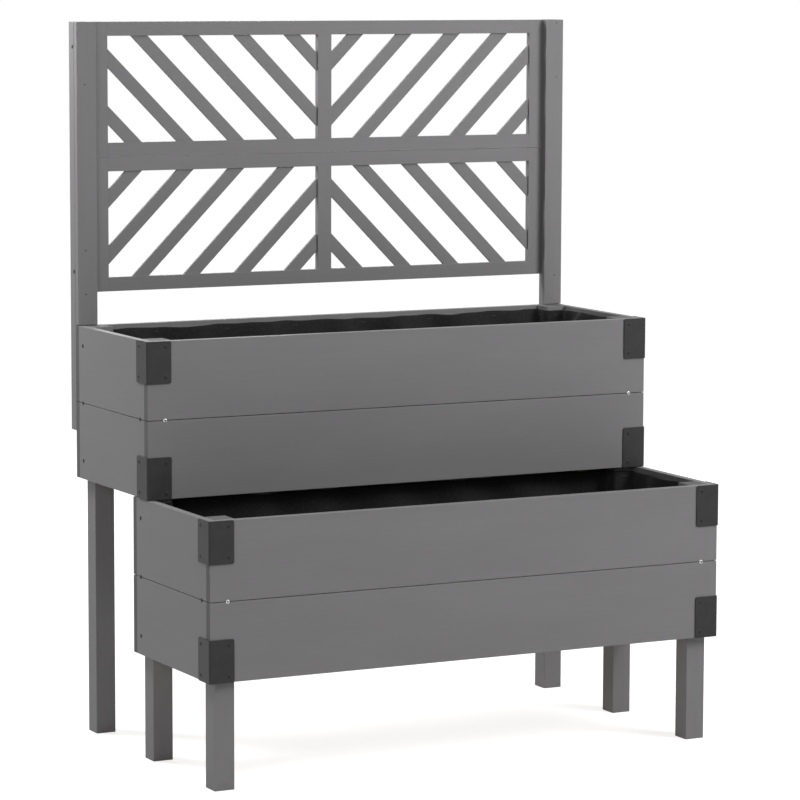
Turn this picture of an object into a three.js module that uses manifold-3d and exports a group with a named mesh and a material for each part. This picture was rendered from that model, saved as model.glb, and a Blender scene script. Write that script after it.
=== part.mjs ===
// Planter with trellis: two stepped timber boxes on legs, with a lattice screen behind the upper one.
// Millimetres, +Z up, front towards -Y. The origin is on the ground, under the centre of the planter.

import * as THREE from 'three';
import { mergeVertices } from 'three/addons/utils/BufferGeometryUtils.js';
import { ConvexGeometry } from 'three/addons/geometries/ConvexGeometry.js';
import Module from 'manifold-3d';

const wasm = await Module();
wasm.setup();

// ---------------------------------------------------------------- driving dimensions

// Clearances
const JOINT_GAP = 0.3;            // between two pieces that touch
const LINER_CLEARANCE = 0.8;      // from the liner to the timbers round it

// Boxes
const BOX_WIDTH = 860;            // over the ends of the front and back boards
const BOX_DEPTH = 280;            // front face to back face of one box
const BOARD_HEIGHT = 119;
const BOARD_THICKNESS = 12;
const COURSES = ['bottom', 'top'];  // boards one above the other in each wall
const TIMBER_EASE = 1;            // chamfer along the arrises of every timber

// Legs
const LEG_SIZE = 32;
const GROUND_CLEARANCE = 162;     // ground to the underside of the lower box

// Floors
const CLEAT_SIZE = 20;
const FLOOR_SLAT_WIDTH = 119;
const FLOOR_SLAT_THICKNESS = 12;
const FLOOR_SLATS = 6;            // in each box

// Liners
const LINER_THICKNESS = 1.5;
const LINER_BELOW_RIM = 4;

// Corner brackets
const BRACKET_FLANGE = 40;
const BRACKET_HEIGHT = 64;
const BRACKET_THICKNESS = 1.5;
const BRACKET_CORNER_RADIUS = 3;
const BRACKET_HOLE = 3.4;
const BRACKET_HOLE_FROM_CORNER = 31;
const BRACKET_HOLE_FROM_END = 9;

// Trellis posts
const POST_WIDTH = 32;
const BATTEN_WIDTH = 24;
const BATTEN_DEPTH = 20;
const BATTEN_BELOW_RIM = 165;     // how far the batten runs down behind the upper box

// Trellis panels
const PANEL_HEIGHT = 209;
const PANEL_THICKNESS = 10;
const PANELS = ['lower', 'upper'];
const PANEL_ABOVE_RIM = 50;       // open gap between the upper box and the lowest panel
const RAIL_HEIGHT = 22;
const STILE_WIDTH = 32;
const CENTRE_STILE_WIDTH = 24;
const LATTICE_SLAT_WIDTH = 20;
const LATTICE_SLAT_THICKNESS = 5;
const LATTICE_SLATS = 6;          // in each half of a panel
const LATTICE_HOUSING = 3;        // how far a slat's end runs into the frame

// ---------------------------------------------------------------- sizes that follow

const boxHalfWidth = BOX_WIDTH / 2;
const boxHeight = COURSES.length * BOARD_HEIGHT + (COURSES.length - 1) * JOINT_GAP;
const wallDepth = BOARD_THICKNESS + JOINT_GAP;      // a board and the gap behind it
const boxOverlap = 2 * wallDepth + LEG_SIZE;        // one row of legs stands in both boxes

const legOuterX = boxHalfWidth - wallDepth;
const legInnerX = legOuterX - LEG_SIZE;
const frontLegY = wallDepth;                        // both measured from the box's front face
const backLegY = BOX_DEPTH - wallDepth - LEG_SIZE;

const upperBoxY = BOX_DEPTH - boxOverlap;           // measured from the lower box's front face
const lowerBoxTop = GROUND_CLEARANCE + boxHeight;
const upperBoxBase = lowerBoxTop + JOINT_GAP;
const upperBoxTop = upperBoxBase + boxHeight;

const postFrontY = upperBoxY + BOX_DEPTH - BOARD_THICKNESS;
const panelBase = upperBoxTop + PANEL_ABOVE_RIM;
const panelPitch = PANEL_HEIGHT + JOINT_GAP;
const postTop = panelBase + PANELS.length * panelPitch - JOINT_GAP;

const foremostY = -(JOINT_GAP + BRACKET_THICKNESS);
const rearmostY = postFrontY + wallDepth + BATTEN_DEPTH;

const SIDES = [
  { name: 'left', sign: -1 },
  { name: 'right', sign: 1 },
];

// ---------------------------------------------------------------- materials

function paintedTimber() {
  return new THREE.MeshStandardMaterial({ color: 0x78777a, roughness: 0.62, metalness: 0 });
}

function blackPaintedSteel() {
  return new THREE.MeshStandardMaterial({ color: 0x2f2e2f, roughness: 0.5, metalness: 0.3 });
}

function rawTimber() {
  return new THREE.MeshStandardMaterial({ color: 0x9b8568, roughness: 0.8, metalness: 0 });
}

function blackFelt() {
  return new THREE.MeshStandardMaterial({ color: 0x161617, roughness: 0.95, metalness: 0 });
}

// ---------------------------------------------------------------- helpers

// The two ends of a stretch along one axis, mirrored to the chosen side of the centre plane.
function mirrored(sign, near, far) {
  return sign > 0 ? [near, far] : [-far, -near];
}

// A block with every arris chamfered, centred on its own origin.
function easedBlockGeometry(size) {
  const points = [];
  for (const x of [-1, 1]) {
    for (const y of [-1, 1]) {
      for (const z of [-1, 1]) {
        const corner = new THREE.Vector3(x * size.x, y * size.y, z * size.z).multiplyScalar(0.5);
        points.push(new THREE.Vector3(corner.x, corner.y - y * TIMBER_EASE, corner.z - z * TIMBER_EASE));
        points.push(new THREE.Vector3(corner.x - x * TIMBER_EASE, corner.y, corner.z - z * TIMBER_EASE));
        points.push(new THREE.Vector3(corner.x - x * TIMBER_EASE, corner.y - y * TIMBER_EASE, corner.z));
      }
    }
  }
  return new ConvexGeometry(points);
}

function addMesh(parent, name, geometry, material) {
  const mesh = new THREE.Mesh(geometry, material);
  mesh.name = name;
  parent.add(mesh);
  return mesh;
}

// A straight timber that fills the given stretch along each axis.
function addTimber(parent, name, xs, ys, zs, material = paintedTimber()) {
  const space = new THREE.Box3(
    new THREE.Vector3(xs[0], ys[0], zs[0]),
    new THREE.Vector3(xs[1], ys[1], zs[1]),
  );
  const geometry = easedBlockGeometry(space.getSize(new THREE.Vector3()));
  const mesh = addMesh(parent, name, geometry, material);
  space.getCenter(mesh.position);
  return mesh;
}

function toSolid(geometry) {
  const bare = geometry.clone();
  bare.deleteAttribute('normal');
  bare.deleteAttribute('uv');
  const merged = mergeVertices(bare);
  return new wasm.Manifold(new wasm.Mesh({
    numProp: 3,
    vertProperties: new Float32Array(merged.attributes.position.array),
    triVerts: new Uint32Array(merged.index.array),
  }));
}

function toGeometry(solid) {
  const mesh = solid.getMesh();
  const geometry = new THREE.BufferGeometry();
  geometry.setAttribute('position', new THREE.BufferAttribute(mesh.vertProperties, 3));
  geometry.setIndex(new THREE.BufferAttribute(mesh.triVerts, 1));
  geometry.computeVertexNormals();
  return geometry;
}

function polygon(points) {
  return new THREE.Shape(points.map(([x, y]) => new THREE.Vector2(x, y)));
}

function extrude(shape, depth, curveSegments = 6) {
  return new THREE.ExtrudeGeometry(shape, { depth, curveSegments, bevelEnabled: false });
}

// ---------------------------------------------------------------- walls of a box

function addWalls(box, boxName) {
  COURSES.forEach((course, index) => {
    const base = index * (BOARD_HEIGHT + JOINT_GAP);
    const zs = [base, base + BOARD_HEIGHT];
    const full = [-boxHalfWidth, boxHalfWidth];
    addTimber(box, `${boxName}_front_board_${course}`, full, [0, BOARD_THICKNESS], zs);
    addTimber(box, `${boxName}_back_board_${course}`, full, [BOX_DEPTH - BOARD_THICKNESS, BOX_DEPTH], zs);
    for (const side of SIDES) {
      const xs = mirrored(side.sign, boxHalfWidth - BOARD_THICKNESS, boxHalfWidth);
      addTimber(box, `${boxName}_${side.name}_board_${course}`, xs, [wallDepth, BOX_DEPTH - wallDepth], zs);
    }
  });
}

// ---------------------------------------------------------------- floor of a box

// Outline of one floor slat, as [x, y] points. The outermost slats are notched round the legs.
function floorSlatOutline(xs) {
  const front = wallDepth;
  const back = BOX_DEPTH - wallDepth;
  const notchX = legInnerX - JOINT_GAP;
  const notchFront = frontLegY + LEG_SIZE + JOINT_GAP;
  const notchBack = backLegY - JOINT_GAP;
  if (xs[1] > legInnerX) {
    return [
      [xs[0], front], [notchX, front], [notchX, notchFront], [xs[1], notchFront],
      [xs[1], notchBack], [notchX, notchBack], [notchX, back], [xs[0], back],
    ];
  }
  if (xs[0] < -legInnerX) {
    return floorSlatOutline([-xs[1], -xs[0]]).map(([x, y]) => [-x, y]);
  }
  return [[xs[0], front], [xs[1], front], [xs[1], back], [xs[0], back]];
}

function addFloor(box, boxName) {
  const cleatXs = [JOINT_GAP - legInnerX, legInnerX - JOINT_GAP];
  const cleatZs = [0, CLEAT_SIZE];
  const frontCleatYs = [wallDepth, wallDepth + CLEAT_SIZE];
  const backCleatYs = [BOX_DEPTH - wallDepth - CLEAT_SIZE, BOX_DEPTH - wallDepth];
  addTimber(box, `${boxName}_cleat_front`, cleatXs, frontCleatYs, cleatZs, rawTimber());
  addTimber(box, `${boxName}_cleat_back`, cleatXs, backCleatYs, cleatZs, rawTimber());

  const halfSpan = boxHalfWidth - wallDepth;
  const pitch = (2 * halfSpan - FLOOR_SLAT_WIDTH) / (FLOOR_SLATS - 1);
  for (let i = 0; i < FLOOR_SLATS; i++) {
    const x = i * pitch - halfSpan;
    const shape = polygon(floorSlatOutline([x, x + FLOOR_SLAT_WIDTH]));
    const slat = extrude(shape, FLOOR_SLAT_THICKNESS);
    const mesh = addMesh(box, `${boxName}_floor_slat_${i + 1}`, slat, rawTimber());
    mesh.position.z = CLEAT_SIZE + JOINT_GAP;
  }
}

// ---------------------------------------------------------------- liner of a box

// Plan of the liner, drawn in by the given distance from the walls and round the four legs.
function linerShape(inset) {
  const x = boxHalfWidth - BOARD_THICKNESS - inset;
  const notchX = legInnerX - inset;
  const front = BOARD_THICKNESS + inset;
  const back = BOX_DEPTH - BOARD_THICKNESS - inset;
  const notchFront = frontLegY + LEG_SIZE + inset;
  const notchBack = backLegY - inset;
  const rightHalf = [
    [notchX, front], [notchX, notchFront], [x, notchFront],
    [x, notchBack], [notchX, notchBack], [notchX, back],
  ];
  const leftHalf = rightHalf.map(([px, py]) => [-px, py]).reverse();
  return polygon([...rightHalf, ...leftHalf]);
}

function addLiner(box, boxName) {
  const base = CLEAT_SIZE + FLOOR_SLAT_THICKNESS + 2 * JOINT_GAP;
  const height = boxHeight - LINER_BELOW_RIM - base;
  const outside = toSolid(extrude(linerShape(LINER_CLEARANCE), height));
  const hollow = extrude(linerShape(LINER_CLEARANCE + LINER_THICKNESS), height);
  hollow.translate(0, 0, LINER_THICKNESS);
  const tray = outside.subtract(toSolid(hollow));
  const mesh = addMesh(box, `${boxName}_liner`, toGeometry(tray), blackFelt());
  mesh.position.z = base;
}

// ---------------------------------------------------------------- corner brackets of a box

// One flange of a bracket, from the corner outwards, with its free corners rounded.
function flangeShape(sign) {
  const radius = BRACKET_CORNER_RADIUS;
  const edge = BRACKET_FLANGE;
  const shape = new THREE.Shape();
  shape.moveTo(0, 0);
  shape.lineTo(sign * (edge - radius), 0);
  shape.quadraticCurveTo(sign * edge, 0, sign * edge, radius);
  shape.lineTo(sign * edge, BRACKET_HEIGHT - radius);
  shape.quadraticCurveTo(sign * edge, BRACKET_HEIGHT, sign * (edge - radius), BRACKET_HEIGHT);
  shape.lineTo(0, BRACKET_HEIGHT);
  shape.closePath();
  for (const z of [BRACKET_HOLE_FROM_END, BRACKET_HEIGHT - BRACKET_HOLE_FROM_END]) {
    const hole = new THREE.Path();
    hole.absarc(sign * BRACKET_HOLE_FROM_CORNER, z, BRACKET_HOLE / 2, 0, 2 * Math.PI);
    shape.holes.push(hole);
  }
  return shape;
}

// A bent plate whose outer corner is on its own origin, with one flange along X and one along +Y.
function bracketGeometry(sign) {
  const inward = -sign;
  const frontFlange = extrude(flangeShape(inward), BRACKET_THICKNESS);
  frontFlange.rotateX(Math.PI / 2);
  frontFlange.translate(0, BRACKET_THICKNESS, 0);

  const sideFlange = extrude(flangeShape(1), BRACKET_THICKNESS);
  const turned = new THREE.Matrix4().makeBasis(
    new THREE.Vector3(0, 1, 0),
    new THREE.Vector3(0, 0, 1),
    new THREE.Vector3(1, 0, 0),
  );
  sideFlange.applyMatrix4(turned);
  sideFlange.translate(sign > 0 ? -BRACKET_THICKNESS : 0, 0, 0);
  return toGeometry(toSolid(frontFlange).add(toSolid(sideFlange)));
}

function addBrackets(box, boxName) {
  const cornerX = boxHalfWidth + JOINT_GAP + BRACKET_THICKNESS;
  const bases = { bottom: 0, top: boxHeight - BRACKET_HEIGHT };
  for (const side of SIDES) {
    for (const [level, base] of Object.entries(bases)) {
      const name = `${boxName}_bracket_${level}_${side.name}`;
      const mesh = addMesh(box, name, bracketGeometry(side.sign), blackPaintedSteel());
      mesh.position.set(side.sign * cornerX, foremostY, base);
    }
  }
}

// ---------------------------------------------------------------- boxes and legs

function buildBox(boxName, y, z) {
  const box = new THREE.Group();
  box.position.set(0, y, z);
  addWalls(box, boxName);
  addFloor(box, boxName);
  addLiner(box, boxName);
  addBrackets(box, boxName);
  return box;
}

// The front legs end at the lower rim. The middle and rear legs run up to the upper rim.
function buildLegs() {
  const legs = new THREE.Group();
  const rows = [
    { name: 'front', y: frontLegY, top: lowerBoxTop },
    { name: 'middle', y: upperBoxY + frontLegY, top: upperBoxTop },
    { name: 'rear', y: upperBoxY + backLegY, top: upperBoxTop },
  ];
  for (const row of rows) {
    for (const side of SIDES) {
      const xs = mirrored(side.sign, legInnerX, legOuterX);
      addTimber(legs, `leg_${row.name}_${side.name}`, xs, [row.y, row.y + LEG_SIZE], [0, row.top]);
    }
  }
  return legs;
}

// ---------------------------------------------------------------- trellis

// Each post is a face strip that stands on the back board and a batten screwed behind box and strip.
// The strip is wider, so it covers the edge of the panels.
function addPosts(trellis) {
  for (const side of SIDES) {
    const faceXs = mirrored(side.sign, boxHalfWidth - POST_WIDTH, boxHalfWidth);
    const faceZs = [upperBoxTop + JOINT_GAP, postTop];
    addTimber(trellis, `trellis_post_face_${side.name}`, faceXs, [0, BOARD_THICKNESS], faceZs);
    const battenXs = mirrored(side.sign, boxHalfWidth - BATTEN_WIDTH, boxHalfWidth);
    const battenYs = [wallDepth, wallDepth + BATTEN_DEPTH];
    const battenZs = [upperBoxTop - BATTEN_BELOW_RIM, postTop];
    addTimber(trellis, `trellis_post_${side.name}`, battenXs, battenYs, battenZs);
  }
}

// The slats of one bay: equal strips at 45 degrees whose centre lines share the bay's diagonal
// span evenly. A tilt of 1 leans them to the right, -1 to the left. Their ends are housed in the
// rails and the centre stile, and only meet the outer stile.
function baySlats(bay, tilt) {
  const span = bay.right - bay.left + bay.top - bay.bottom;
  const middle = new THREE.Vector2((bay.left + bay.right) / 2, (bay.bottom + bay.top) / 2);
  const socket = new THREE.BoxGeometry(
    bay.right - bay.left + LATTICE_HOUSING,
    bay.top - bay.bottom + 2 * LATTICE_HOUSING,
    PANEL_THICKNESS,
  );
  socket.translate(middle.x - bay.sign * LATTICE_HOUSING / 2, middle.y, PANEL_THICKNESS / 2);
  const space = toSolid(socket);
  const solids = [];
  for (let i = 0; i < LATTICE_SLATS; i++) {
    const offset = ((i + 0.5) / LATTICE_SLATS - 0.5) * span / 2;
    const slat = new THREE.BoxGeometry(span, LATTICE_SLAT_WIDTH, LATTICE_SLAT_THICKNESS);
    slat.rotateZ(tilt * Math.PI / 4);
    slat.translate(middle.x + offset, middle.y - tilt * offset, PANEL_THICKNESS / 2);
    solids.push(toSolid(slat).intersect(space));
  }
  return solids;
}

// Rails, centre stile and slats, glued up as one lattice. Drawn in the XY plane, then stood up.
function latticeGeometry(flip) {
  const halfWidth = boxHalfWidth - BATTEN_WIDTH - STILE_WIDTH - 2 * JOINT_GAP;
  const bays = SIDES.map((side) => {
    const [left, right] = mirrored(side.sign, CENTRE_STILE_WIDTH / 2, halfWidth);
    return { left, right, bottom: RAIL_HEIGHT, top: PANEL_HEIGHT - RAIL_HEIGHT, sign: side.sign };
  });
  const outline = [[-halfWidth, 0], [halfWidth, 0], [halfWidth, PANEL_HEIGHT], [-halfWidth, PANEL_HEIGHT]];
  let lattice = toSolid(extrude(polygon(outline), PANEL_THICKNESS));
  const slats = [];
  for (const bay of bays) {
    const opening = new THREE.BoxGeometry(bay.right - bay.left, bay.top - bay.bottom, 2 * PANEL_THICKNESS);
    opening.translate((bay.left + bay.right) / 2, (bay.bottom + bay.top) / 2, PANEL_THICKNESS / 2);
    lattice = lattice.subtract(toSolid(opening));
    slats.push(...baySlats(bay, flip * bay.sign));
  }
  for (const slat of slats) {
    lattice = lattice.add(slat);
  }
  const geometry = toGeometry(lattice);
  geometry.rotateX(Math.PI / 2);
  geometry.translate(0, PANEL_THICKNESS, 0);
  return geometry;
}

// The two panels are alike, and the lower one is hung the other way up.
function addPanels(trellis) {
  PANELS.forEach((panelName, index) => {
    const base = panelBase + index * panelPitch;
    const lattice = latticeGeometry(index % 2 === 0 ? -1 : 1);
    const mesh = addMesh(trellis, `trellis_${panelName}_lattice`, lattice, paintedTimber());
    mesh.position.set(0, wallDepth, base);
    const outerX = boxHalfWidth - BATTEN_WIDTH - JOINT_GAP;
    for (const side of SIDES) {
      const xs = mirrored(side.sign, outerX - STILE_WIDTH, outerX);
      const ys = [wallDepth, wallDepth + PANEL_THICKNESS];
      addTimber(trellis, `trellis_${panelName}_stile_${side.name}`, xs, ys, [base, base + PANEL_HEIGHT]);
    }
  });
}

function buildTrellis() {
  const trellis = new THREE.Group();
  trellis.position.y = postFrontY;
  addPosts(trellis);
  addPanels(trellis);
  return trellis;
}

// ---------------------------------------------------------------- assembly

const planter = new THREE.Group();
const assembly = new THREE.Group();
assembly.position.y = -(foremostY + rearmostY) / 2;
assembly.add(buildLegs());
assembly.add(buildBox('lower', 0, GROUND_CLEARANCE));
assembly.add(buildBox('upper', upperBoxY, upperBoxBase));
assembly.add(buildTrellis());
planter.add(assembly);

export default planter;
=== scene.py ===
import itertools
import math

import bmesh
import bpy
from mathutils import Matrix, Vector, noise


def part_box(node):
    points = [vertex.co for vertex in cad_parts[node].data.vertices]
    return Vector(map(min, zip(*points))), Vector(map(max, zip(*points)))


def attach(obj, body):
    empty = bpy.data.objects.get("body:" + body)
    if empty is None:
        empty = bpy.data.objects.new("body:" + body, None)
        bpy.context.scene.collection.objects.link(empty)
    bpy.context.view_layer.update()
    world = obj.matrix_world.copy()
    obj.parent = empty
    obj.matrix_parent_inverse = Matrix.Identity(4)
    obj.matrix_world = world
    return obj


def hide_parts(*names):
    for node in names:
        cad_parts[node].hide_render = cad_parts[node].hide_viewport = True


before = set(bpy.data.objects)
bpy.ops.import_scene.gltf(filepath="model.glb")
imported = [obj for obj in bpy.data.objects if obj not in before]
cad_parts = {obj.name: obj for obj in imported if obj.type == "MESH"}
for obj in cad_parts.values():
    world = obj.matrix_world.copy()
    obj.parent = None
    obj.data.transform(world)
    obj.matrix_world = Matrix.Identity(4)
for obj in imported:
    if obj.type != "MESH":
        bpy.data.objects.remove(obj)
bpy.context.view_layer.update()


# ================================================================ camera
# The planter is seen from its left front corner, from a little above the upper box, through a
# long lens about five and a half metres away. The frame is square.

CAMERA_PLACE = Vector((-2.543, -4.957, 1.196))
CAMERA_HEADING = math.radians(27.266)  # turned from straight ahead towards +X
CAMERA_TILT = math.radians(6.862)      # downwards
CAMERA_ROLL = math.radians(0.188)
CAMERA_LENS_MM = 162.8                 # on a sensor 36 mm wide

camera_data = bpy.data.cameras.new("camera")
camera_data.sensor_width = 36.0
camera_data.lens = CAMERA_LENS_MM
camera_data.clip_end = 60.0
camera = bpy.data.objects.new("camera", camera_data)
bpy.context.scene.collection.objects.link(camera)
camera.matrix_world = (
    Matrix.Translation(CAMERA_PLACE)
    @ Matrix.Rotation(-CAMERA_HEADING, 4, "Z")
    @ Matrix.Rotation(math.pi / 2 - CAMERA_TILT, 4, "X")
    @ Matrix.Rotation(CAMERA_ROLL, 4, "Z")
)
bpy.context.scene.camera = camera


# ================================================================ legs
# Six square legs of planed softwood under a satin grey paint. The front pair ends at the lower
# rim, the middle pair stands in both boxes and the rear pair carries the upper box.

MM = 0.001


class Value:
    """One output of a node. Arithmetic on it adds Math nodes."""

    def __init__(self, finish, socket):
        self.finish = finish
        self.socket = socket

    def math(self, operation, *others):
        return self.finish.node("Math", {"operation": operation}, dict(enumerate(others)))

    def __add__(self, other):
        return self.math("ADD", self, other)

    def __radd__(self, other):
        return self.math("ADD", other, self)

    def __sub__(self, other):
        return self.math("SUBTRACT", self, other)

    def __rsub__(self, other):
        return self.math("SUBTRACT", other, self)

    def __mul__(self, other):
        return self.math("MULTIPLY", self, other)

    def __rmul__(self, other):
        return self.math("MULTIPLY", other, self)

    def __pow__(self, other):
        return self.math("POWER", self, other)

    def sine(self):
        return self.math("SINE", self)

    def smoothed(self, low, high):
        """0 below low, 1 above high, with a soft step between them."""
        limits = {"Value": self, "From Min": low, "From Max": high}
        return self.finish.node("MapRange", {"interpolation_type": "SMOOTHSTEP"}, limits)


class Finish:
    """A material under construction, whose name ends in _finish."""

    def __init__(self, name):
        self.material = bpy.data.materials.new(name + "_finish")
        self.material.use_nodes = True
        self.tree = self.material.node_tree
        self.tree.nodes.clear()

    def node(self, kind, settings=None, inputs=None, output=None):
        """Adds a node, sets it up, feeds its sockets by name or place, and gives one output."""
        made = self.tree.nodes.new("ShaderNode" + kind)
        for key, value in (settings or {}).items():
            setattr(made, key, value)
        for key, value in (inputs or {}).items():
            if isinstance(key, int):
                socket = made.inputs[key]
            else:
                socket = next(s for s in made.inputs if s.name == key and s.enabled)
            if isinstance(value, Value):
                self.tree.links.new(value.socket, socket)
            else:
                socket.default_value = value
        outputs = [s for s in made.outputs if s.enabled and output in (None, s.name)]
        return Value(self, outputs[0]) if outputs else None

    def mark(self, name, output="Fac"):
        """A value that the mesh carries under this name."""
        return self.node("Attribute", {"attribute_name": name}, None, output)

    def stretched(self, place, stretch):
        return self.node("VectorMath", {"operation": "MULTIPLY"}, {0: place, 1: stretch})

    def noise(self, place, scale, detail=2.0, roughness=0.5):
        inputs = {"Vector": place, "Scale": scale, "Detail": detail, "Roughness": roughness}
        return self.node("TexNoise", None, inputs, "Fac")

    def blend(self, share, first, second):
        inputs = {"Factor": share, "A": first, "B": second}
        return self.node("Mix", {"data_type": "RGBA"}, inputs)

    def bumped(self, height):
        """The surface normal over a relief whose height is in metres."""
        return self.node("Bump", None, {"Height": height, "Strength": 1.0, "Distance": 1.0})

    def surface(self, **inputs):
        """Ends the material with a Principled shader."""
        named = {key.replace("_", " "): value for key, value in inputs.items()}
        shader = self.node("BsdfPrincipled", None, named)
        self.node("OutputMaterial", None, {"Surface": shader})
        return self.material


def grey(level, blush=0.0):
    """A grey of that linear level, with a trace more red and blue than green."""
    return (level * (1 + blush), level, level * (1 + blush), 1.0)


RING_RATE = (2.2, 9.0, 9.0)    # how often the rings stray, per metre along and across the log
RING_SHARPNESS = 3.0


def growth_rings(finish, log, spacing, wander):
    """Thin late-wood lines round the heart of the log, which runs along its X axis, from 0 to 1."""
    drift = finish.noise(finish.stretched(log, RING_RATE), 1.0, 3.0, 0.55)
    across = finish.node("SeparateXYZ", None, {0: log}, "Y")
    through = finish.node("SeparateXYZ", None, {0: log}, "Z")
    radius = (across * across + through * through) ** 0.5
    turn = (radius + (drift - 0.5) * wander) * (2 * math.pi / spacing)
    return (turn.sine() * 0.5 + 0.5) ** RING_SHARPNESS


PAINT_LEVEL = 0.150
PAINT_BLUSH = 0.025
PAINT_MOTTLE = 0.035       # how far the paint's tone strays
GRAIN_TONE = 0.88          # late wood under the paint, as a share of the paint's tone
EDGE_TONE = 1.20           # and the arrises, lighter partly from wear and partly as a painted highlight
RINGS_SHOW = 0.12
STREAKS_SHOW = 0.10
ARRIS_WEAR_AND_HIGHLIGHT = 0.4
END_GRAIN_LEVEL = 0.085    # end grain drinks the paint and stays dark
PAINT_ROUGHNESS = 0.54
RING_SPACING = 5.5 * MM
RING_WANDER = 16.0 * MM
MOTTLE_RATE = (3.0, 14.0, 14.0)      # how often each mark comes, per metre along and across
STREAK_RATE = (6.0, 420.0, 420.0)
PORE_RATE = (300.0, 900.0, 900.0)
STIPPLE_RATE = 1400.0
GRAIN_RELIEF = 0.030 * MM
STIPPLE_RELIEF = 0.012 * MM


def painted_timber():
    finish = Finish("grey_painted_timber")
    log = finish.mark("log", "Vector")
    end_grain = finish.mark("end_grain")
    arris = finish.mark("arris")
    rings = growth_rings(finish, log, RING_SPACING, RING_WANDER)
    mottle = finish.noise(finish.stretched(log, MOTTLE_RATE), 1.0, 4.0, 0.6)
    streaks = finish.noise(finish.stretched(log, STREAK_RATE), 1.0, 3.0, 0.6)
    pores = finish.noise(finish.stretched(log, PORE_RATE), 1.0, 2.0, 0.7)
    stipple = finish.noise(log, STIPPLE_RATE, 2.0, 0.6)
    pale = grey(PAINT_LEVEL * (1 + PAINT_MOTTLE), PAINT_BLUSH)
    deep = grey(PAINT_LEVEL * (1 - PAINT_MOTTLE), PAINT_BLUSH)
    grain_tone = grey(PAINT_LEVEL * GRAIN_TONE, PAINT_BLUSH)
    edge_tone = grey(PAINT_LEVEL * EDGE_TONE, PAINT_BLUSH)
    paint = finish.blend(mottle.smoothed(0.3, 0.7), deep, pale)
    grain = rings * RINGS_SHOW + streaks.smoothed(0.5, 0.85) * STREAKS_SHOW
    lined = finish.blend(grain, paint, grain_tone)
    # painted highlight: the arrises are lighter, partly worn paint and partly light caught along them
    edged = finish.blend(arris * ARRIS_WEAR_AND_HIGHLIGHT, lined, edge_tone)
    end_tone = finish.blend(pores, grey(END_GRAIN_LEVEL * 0.8), grey(END_GRAIN_LEVEL * 1.25))
    relief = (
        rings * GRAIN_RELIEF
        + streaks * (GRAIN_RELIEF * 0.6)
        + stipple * STIPPLE_RELIEF
        + pores * end_grain * (GRAIN_RELIEF * 2)
    )
    return finish.surface(
        Base_Color=finish.blend(end_grain, edged, end_tone),
        Roughness=PAINT_ROUGHNESS + mottle * 0.10 + end_grain * 0.20 - arris * 0.06,
        Normal=finish.bumped(relief),
        Specular_IOR_Level=0.25,
    )


PAINTED_TIMBER = painted_timber()

AXES = {"X": Vector((1, 0, 0)), "Y": Vector((0, 1, 0)), "Z": Vector((0, 0, 1))}
SIDES = {"left": -1, "right": 1}
ARRIS = 0.8 * MM
EASED_STEPS = 2            # strips across an eased arris
SHADING_WEIGHT = 80        # how far the flat faces set the shading of the eased ones
END_CUT = 0.6              # a face whose normal is at least this much along the grain is end grain
LOG_START = Vector((0, 12 * MM, 20 * MM))      # from the heart of the log
LOG_STEP = Vector((1.37, 21 * MM, 34 * MM))
LOG_ROW = 7                # pieces cut before the saw moves back across the log
LOG_SKIP = 3               # rows that it moves through the log from one piece to the next

pieces_cut = itertools.count()


def next_stretch():
    """Where in the log the next piece is cut, so that no two have the same grain."""
    count = next(pieces_cut)
    across = LOG_STEP.y * (count % LOG_ROW)
    through = LOG_STEP.z * (count * LOG_SKIP % LOG_ROW)
    return LOG_START + Vector((LOG_STEP.x * count, across, through))


def rigid_piece(name, mesh, matrix=Matrix.Identity(4)):
    """Puts a mesh in the scene as a piece that is fixed to the planter."""
    piece = bpy.data.objects.new(name, mesh)
    bpy.context.scene.collection.objects.link(piece)
    piece.matrix_world = matrix
    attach(piece, "root")
    return piece


def finished_mesh(name, shape, material):
    """Turns a shape into a smoothly shaded mesh of one material."""
    for side in shape.faces:
        side.smooth = True
    mesh = bpy.data.meshes.new(name)
    shape.to_mesh(mesh)
    shape.free()
    mesh.materials.append(material)
    return mesh


def eased(shape, edges, width):
    """Rounds off some edges of a shape, and gives the strips that this makes."""
    made = bmesh.ops.bevel(
        shape, geom=edges, offset=width, segments=EASED_STEPS, profile=0.5, affect="EDGES"
    )
    return made["faces"]


def shade_evenly(piece):
    piece.modifiers.new("even_shading", "WEIGHTED_NORMAL").weight = SHADING_WEIGHT


def plank(name, outline, thickness, centre, grain, face, material, arris=ARRIS):
    """A flat piece of timber: an outline whose first axis runs along the grain, given as points
    round the centre, planed to a thickness and eased along every arris."""
    shape = bmesh.new()
    corners = [shape.verts.new((x, y, -thickness / 2)) for x, y in outline]
    base = shape.faces.new(corners)
    raised = bmesh.ops.extrude_face_region(shape, geom=[base])["geom"]
    lifted = [item for item in raised if isinstance(item, bmesh.types.BMVert)]
    bmesh.ops.translate(shape, verts=lifted, vec=(0, 0, thickness))
    bmesh.ops.recalc_face_normals(shape, faces=shape.faces)
    shape.normal_update()
    end_grain = shape.faces.layers.float.new("end_grain")
    wear_and_highlight = shape.faces.layers.float.new("arris")
    for side in shape.faces:
        side[end_grain] = float(abs(side.normal.x) > END_CUT)
    # the eased strips get lighter paint, partly wear and partly a painted highlight
    for strip in eased(shape, shape.edges[:], arris):
        strip[wear_and_highlight] = 1.0
    mesh = finished_mesh(name, shape, material)

    stretch = next_stretch()
    log = mesh.attributes.new("log", "FLOAT_VECTOR", "POINT")
    for point, vertex in zip(log.data, mesh.vertices):
        point.vector = vertex.co + stretch

    turn = Matrix((grain, face.cross(grain), face)).transposed()
    piece = rigid_piece(name, mesh, Matrix.Translation(centre) @ turn.to_4x4())
    shade_evenly(piece)
    return piece


def stand_for(node):
    """Hides the part of a node, whose place a new piece takes."""
    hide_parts(node)


def rectangle(length, width):
    """The corners of a rectangle round the origin, its length along the first axis."""
    return [
        (-length / 2, -width / 2),
        (length / 2, -width / 2),
        (length / 2, width / 2),
        (-length / 2, width / 2),
    ]


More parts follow.
